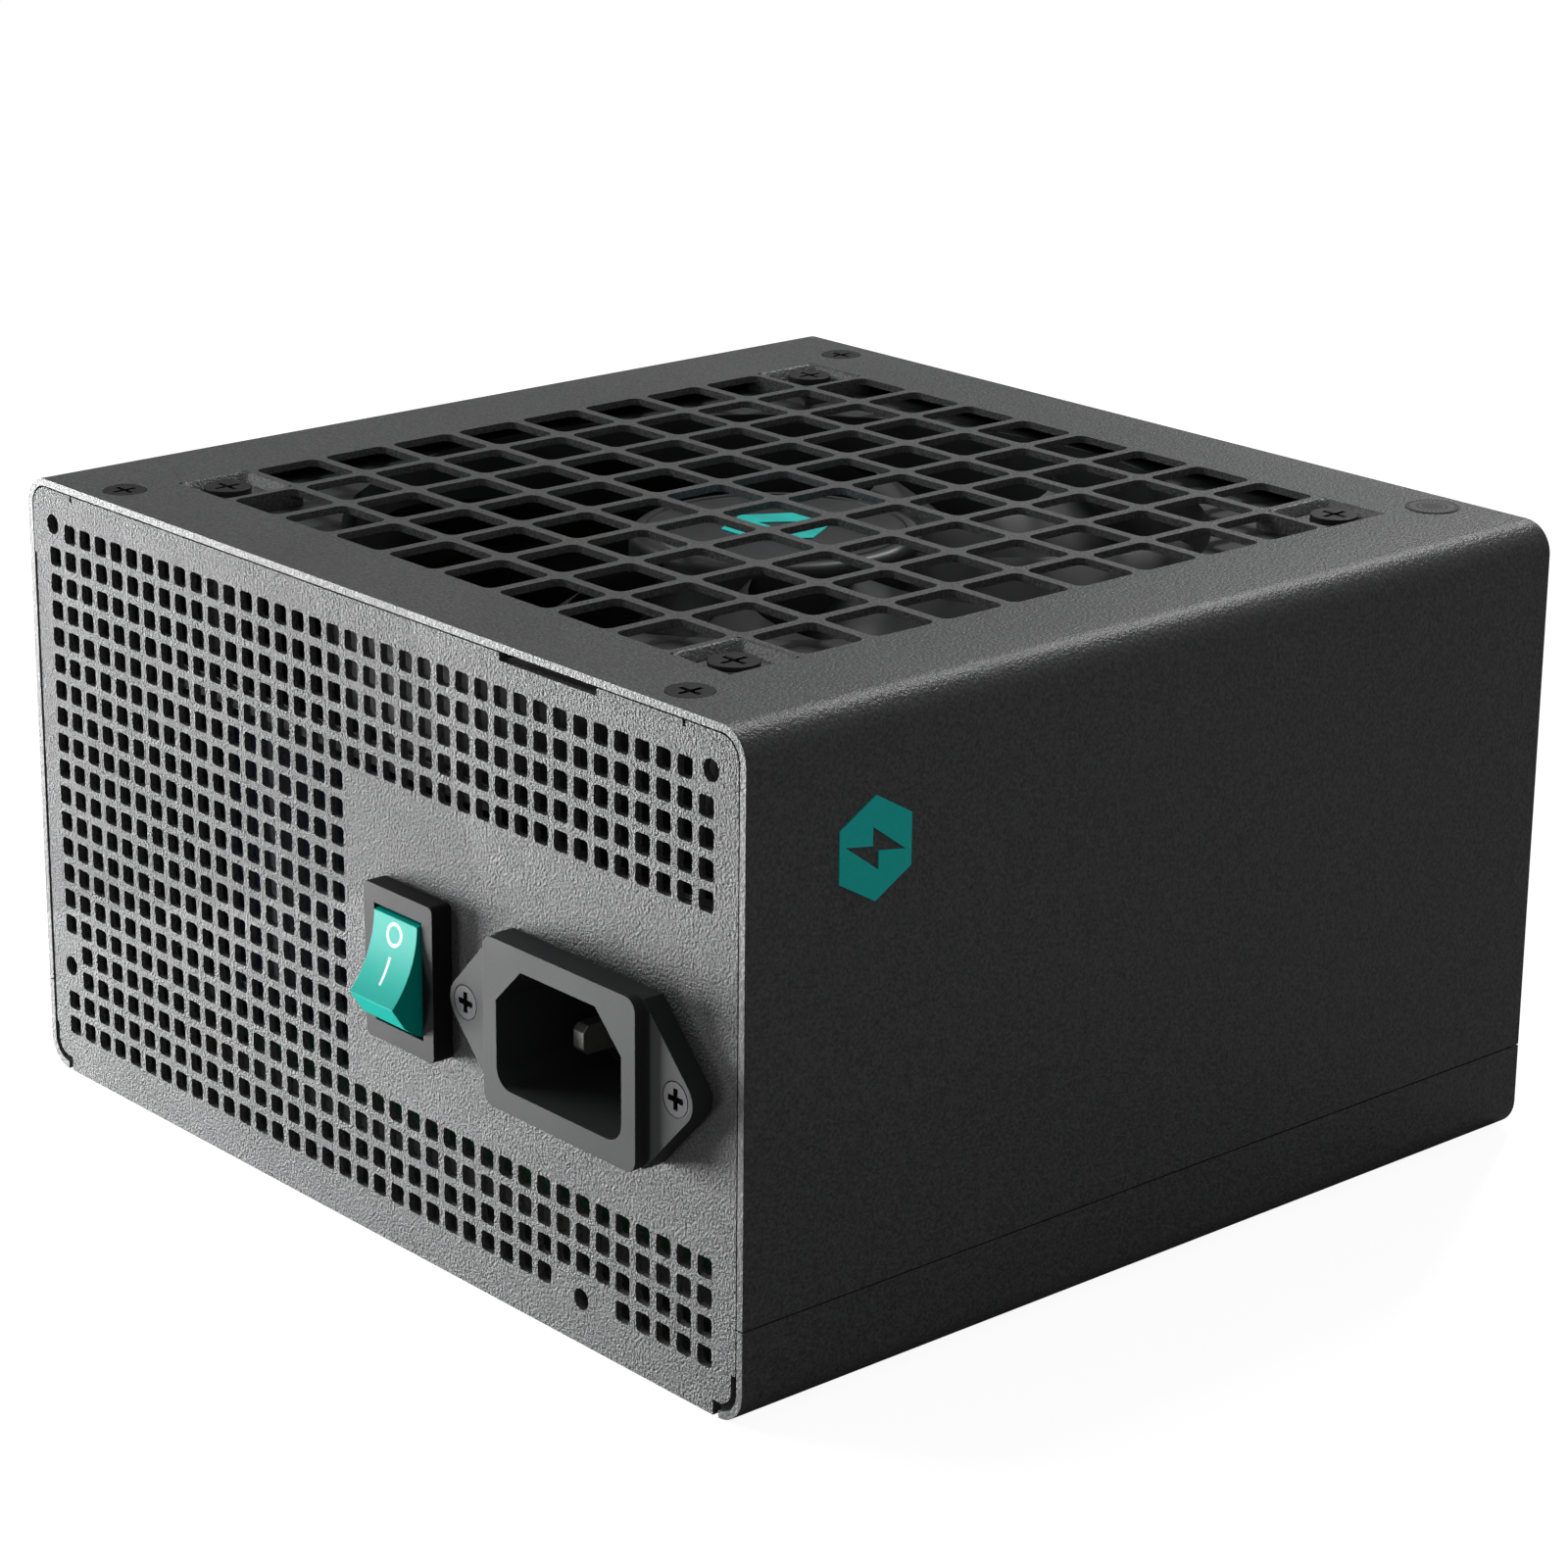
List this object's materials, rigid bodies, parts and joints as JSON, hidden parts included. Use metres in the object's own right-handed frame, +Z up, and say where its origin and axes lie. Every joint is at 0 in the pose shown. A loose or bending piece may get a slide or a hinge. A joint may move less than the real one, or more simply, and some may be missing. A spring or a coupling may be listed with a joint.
{
  "type": "power supply unit",
  "caption": "Modular desktop computer power supply in a black vented steel case with a fan grille on top, a mains inlet, a rocker switch and output sockets.",
  "frame": {"origin": "middle of the underside of the case", "axes": "+Z up to the fan face, -Y out of the mains inlet panel, +Y out of the socket panel, +X to the side with the emblem"},
  "size_m": [0.1502, 0.1482, 0.0861],
  "materials": {
    "case_black": "fine textured black powder coat",
    "fastener_black": "black zinc-plated steel",
    "plain_steel": "bright plated steel",
    "seal_print": "matt black film",
    "emblem_teal": "satin teal film",
    "label_paper": "matt grey film",
    "fan_black": "moulded black plastic, satin",
    "magnet": "dark bonded ferrite",
    "bronze": "sintered bronze",
    "lamination": "stacked electrical steel",
    "copper": "enamelled copper",
    "circuit_board": "green solder mask",
    "inlet_black": "matt black moulded plastic",
    "nickel": "bright nickel plate",
    "switch_black": "matt black moulded plastic",
    "rocker_teal": "satin teal moulded plastic",
    "mark_white": "white print",
    "white_plastic": "white nylon",
    "contact_brass": "brass",
    "wire_brown": "brown insulation",
    "wire_blue": "blue insulation",
    "wire_earth": "green and yellow insulation",
    "wire_black": "black insulation",
    "film_clear": "milky insulating film",
    "capacitor_sleeve": "dark blue shrink sleeve",
    "package_black": "moulded epoxy",
    "choke_winding": "enamelled copper winding",
    "film_capacitor": "yellow box",
    "glass_fuse": "clear glass tube with metal caps",
    "varistor_blue": "blue epoxy",
    "heatsink_alu": "extruded aluminium",
    "transformer_tape": "yellow polyester tape",
    "socket_black": "black nylon",
    "contact_gold": "gold-plated contacts"
  },
  "bodies": {
    "case": {"base_tray": "case_black", "rear_panel": "case_black", "top_cover": "case_black", "cover_screws": "fastener_black", "warranty_seal": "seal_print", "side_emblem": "emblem_teal", "rating_label": "label_paper", "fan_frame": "fan_black", "fan_screws": "fastener_black", "fan_bearing": "bronze", "stator_core": "lamination", "stator_windings": "copper", "fan_circuit_board": "circuit_board", "fan_lead": "wire_black", "inlet_housing": "inlet_black", "live_blade": "nickel", "neutral_blade": "nickel", "earth_blade": "nickel", "inlet_screws": "fastener_black", "inlet_nuts": "plain_steel", "switch_housing": "switch_black", "switch_terminals": "contact_brass", "live_wires": "wire_brown", "neutral_wire": "wire_blue", "earth_wire": "wire_earth", "main_board": "circuit_board", "insulation_sheet": "film_clear", "board_standoffs": "contact_brass", "board_screws": "plain_steel", "bulk_capacitor": "capacitor_sleeve", "bridge_rectifier": "package_black", "line_chokes": "choke_winding", "filter_capacitors": "film_capacitor", "mains_fuse": "glass_fuse", "surge_varistor": "varistor_blue", "inrush_relay": "package_black", "boost_choke": "choke_winding", "primary_heatsink": "heatsink_alu", "power_transistors": "package_black", "main_transformer": "transformer_tape", "standby_transformer": "transformer_tape", "output_heatsink": "heatsink_alu", "output_inductors": "choke_winding", "output_capacitors": "capacitor_sleeve", "control_board": "circuit_board", "busbars": "copper", "socket_board": "circuit_board", "motherboard_sockets": "socket_black", "power_sockets": "socket_black", "drive_sockets": "socket_black", "socket_contacts": "contact_gold"},
    "impeller": {"fan_impeller": "fan_black", "fan_hub_emblem": "emblem_teal", "rotor_yoke": "plain_steel", "rotor_magnet": "magnet", "fan_shaft": "plain_steel"},
    "rocker": {"switch_rocker": "rocker_teal", "rocker_marks": "mark_white", "rocker_plunger": "white_plastic"},
    "lever": {"contact_lever": "contact_brass"}
  },
  "joints": [
    {"name": "fan_spin", "type": "hinge", "parent": "case", "child": "impeller", "pos_m": [0, 0, 0.07], "axis": [0, 0, 1], "continuous": true},
    {"name": "rocker_tip", "type": "hinge", "parent": "case", "child": "rocker", "pos_m": [0.0127, -0.07, 0.0399], "axis": [1, 0, 0], "range_deg": [0, 44]},
    {"name": "lever_tip", "type": "hinge", "parent": "case", "child": "lever", "pos_m": [0.0127, -0.0604, 0.0399], "axis": [1, 0, 0], "range_deg": [-16, 0]}
  ],
  "couplings": [
    {"joint": "lever_tip", "follows": "rocker_tip", "ratio": -0.36364}
  ]
}
